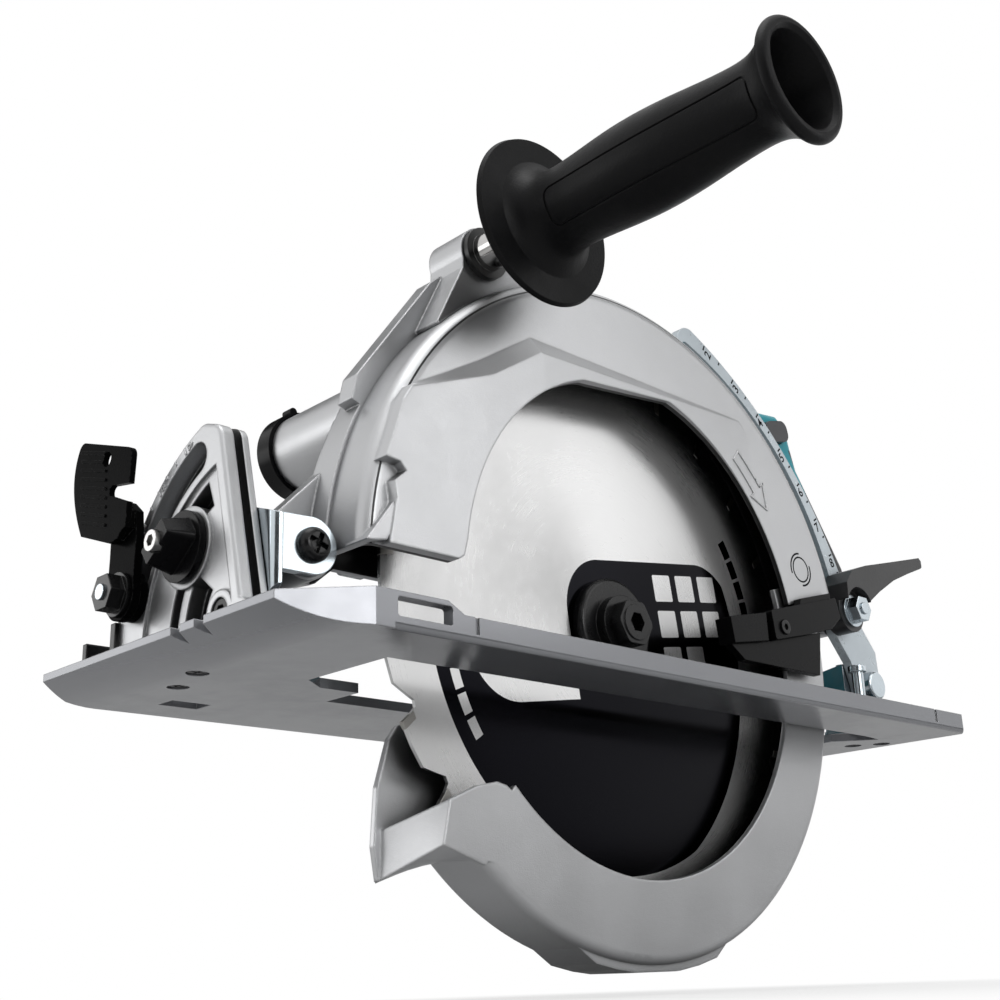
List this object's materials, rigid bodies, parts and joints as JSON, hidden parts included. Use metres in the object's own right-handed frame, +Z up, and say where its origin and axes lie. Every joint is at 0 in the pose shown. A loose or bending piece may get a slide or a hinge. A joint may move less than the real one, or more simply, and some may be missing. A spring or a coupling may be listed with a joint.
{
  "type": "cordless circular saw",
  "caption": "Battery circular saw with a toothed blade in a windowed case, sprung lower guard, tilting base, depth guide, side handle and rear D handle.",
  "frame": {"origin": "on the sole, straight under the arbor, in the middle plane of the blade", "axes": "+X to the rear, +Y from the blade towards the motor, +Z up"},
  "size_m": [0.4595, 0.308, 0.3322],
  "materials": {
    "magnesium": "satin cast light metal",
    "sole_metal": "smooth painted light metal",
    "zinc": "bluish zinc plate",
    "dark_steel": "blackened steel",
    "steel": "turned steel",
    "blade_steel": "ground steel with dark printed fields",
    "carbide": "sintered carbide",
    "black_plastic": "black moulded plastic",
    "teal_plastic": "teal moulded plastic",
    "grey_plastic": "grey moulded plastic",
    "rubber": "soft black rubber",
    "lens": "clear lamp lens"
  },
  "bodies": {
    "base": {"base_plate": "sole_metal", "base_screws": "dark_steel", "bevel_quadrant": "magnesium", "quadrant_bolt": "dark_steel", "rear_pivot_bracket": "zinc", "pivot_pins": "zinc", "stop_pin": "zinc"},
    "tilt_frame": {"front_angle_plate": "zinc", "bevel_bolt": "zinc", "rear_angle_plate": "zinc", "guide_rivet": "zinc", "pivot_screw": "dark_steel"},
    "saw_body": {"blade_case": "magnesium", "case_screws": "dark_steel", "gear_housing": "magnesium", "bearings": "steel", "guard_spring": "steel", "pivot_bush": "black_plastic", "dust_outlet": "magnesium", "dust_ring": "black_plastic", "chip_shield": "black_plastic", "chip_flap": "black_plastic", "stator": "steel", "motor_housing": "teal_plastic", "motor_cap": "black_plastic", "side_handle": "rubber", "handle_stud": "steel", "handle_left": "teal_plastic", "handle_right": "teal_plastic", "handle_screws": "dark_steel", "grip_pad": "rubber", "switch_block": "black_plastic", "controller": "black_plastic", "terminal_block": "black_plastic", "lamp": "lens", "depth_bolt": "zinc"},
    "guide": {"depth_guide": "zinc"},
    "bevel_clamp": {"bevel_lever": "dark_steel", "bevel_nut": "dark_steel"},
    "bevel_stop": {"stop_knob": "black_plastic", "knob_screw": "dark_steel"},
    "rule_clamp": {"rule_screw": "black_plastic"},
    "depth_clamp": {"depth_lever": "black_plastic", "depth_nut": "zinc"},
    "arbor": {"spindle": "steel", "drive_gear": "steel", "inner_flange": "dark_steel", "blade": "blade_steel", "blade_tips": "carbide", "outer_flange": "dark_steel", "arbor_bolt": "dark_steel"},
    "rotor": {"rotor_shaft": "steel", "rotor_core": "steel", "fan": "black_plastic"},
    "guard": {"lower_guard": "magnesium"},
    "trigger": {"trigger": "black_plastic"},
    "lock_off": {"lock_off": "grey_plastic"},
    "shaft_lock": {"shaft_lock": "black_plastic"},
    "battery": {"battery_case": "black_plastic"},
    "battery_release": {"battery_button": "grey_plastic"}
  },
  "joints": [
    {"name": "bevel_tilt", "type": "hinge", "parent": "base", "child": "tilt_frame", "pos_m": [0, -0.006, 0.01], "axis": [1, 0, 0], "range_deg": [0, 48]},
    {"name": "depth_swing", "type": "hinge", "parent": "tilt_frame", "child": "saw_body", "pos_m": [-0.168, 0, 0.04], "axis": [0, -1, 0], "range_deg": [0, 28]},
    {"name": "guide_swing", "type": "hinge", "parent": "tilt_frame", "child": "guide", "pos_m": [0.195, -0.006, 0.0305], "axis": [0, 1, 0], "range_deg": [0, 19]},
    {"name": "bevel_lever_turn", "type": "hinge", "parent": "tilt_frame", "child": "bevel_clamp", "pos_m": [-0.2, 0.063, 0.0316], "axis": [-1, 0, 0], "range_deg": [0, 40]},
    {"name": "bevel_stop_turn", "type": "hinge", "parent": "base", "child": "bevel_stop", "pos_m": [-0.2, 0.028, 0.043], "axis": [-1, 0, 0], "range_deg": [-120, 120]},
    {"name": "rule_screw_turn", "type": "hinge", "parent": "base", "child": "rule_clamp", "pos_m": [-0.1545, 0.106, 0.02], "axis": [0, 0, 1], "range_deg": [-180, 180]},
    {"name": "depth_lever_turn", "type": "hinge", "parent": "saw_body", "child": "depth_clamp", "pos_m": [0.171, -0.014, 0.066], "axis": [0, -1, 0], "range_deg": [0, 50]},
    {"name": "arbor_spin", "type": "hinge", "parent": "saw_body", "child": "arbor", "pos_m": [0, 0, 0.035], "axis": [0, 1, 0], "continuous": true},
    {"name": "rotor_spin", "type": "hinge", "parent": "saw_body", "child": "rotor", "pos_m": [0.0216, 0.08, 0.0638], "axis": [0, 1, 0], "continuous": true},
    {"name": "guard_swing", "type": "hinge", "parent": "saw_body", "child": "guard", "pos_m": [0, 0.011, 0.035], "axis": [0, -1, 0], "range_deg": [0, 115], "stiffness_Nm_per_rad": 0.35, "springref_deg": -51.57},
    {"name": "trigger_pull", "type": "slide", "parent": "saw_body", "child": "trigger", "axis": [0.8119, 0, 0.5838], "range_m": [0, 0.006], "stiffness_N_per_m": 900, "springref_m": -0.002},
    {"name": "lock_off_push", "type": "slide", "parent": "saw_body", "child": "lock_off", "axis": [0, 1, 0], "range_m": [0, 0.004], "stiffness_N_per_m": 800, "springref_m": -0.002},
    {"name": "shaft_lock_push", "type": "slide", "parent": "saw_body", "child": "shaft_lock", "axis": [0, -1, 0], "range_m": [0, 0.0045], "stiffness_N_per_m": 600, "springref_m": -0.002},
    {"name": "battery_slide", "type": "slide", "parent": "saw_body", "child": "battery", "axis": [1, 0, 0], "range_m": [0, 0.07]},
    {"name": "battery_button_push", "type": "slide", "parent": "battery", "child": "battery_release", "axis": [0, 0, -1], "range_m": [0, 0.004], "stiffness_N_per_m": 600, "springref_m": -0.002}
  ],
  "couplings": [
    {"joint": "guide_swing", "follows": "depth_swing", "ratio": 0.66},
    {"joint": "rotor_spin", "follows": "arbor_spin", "ratio": -3.3636}
  ]
}
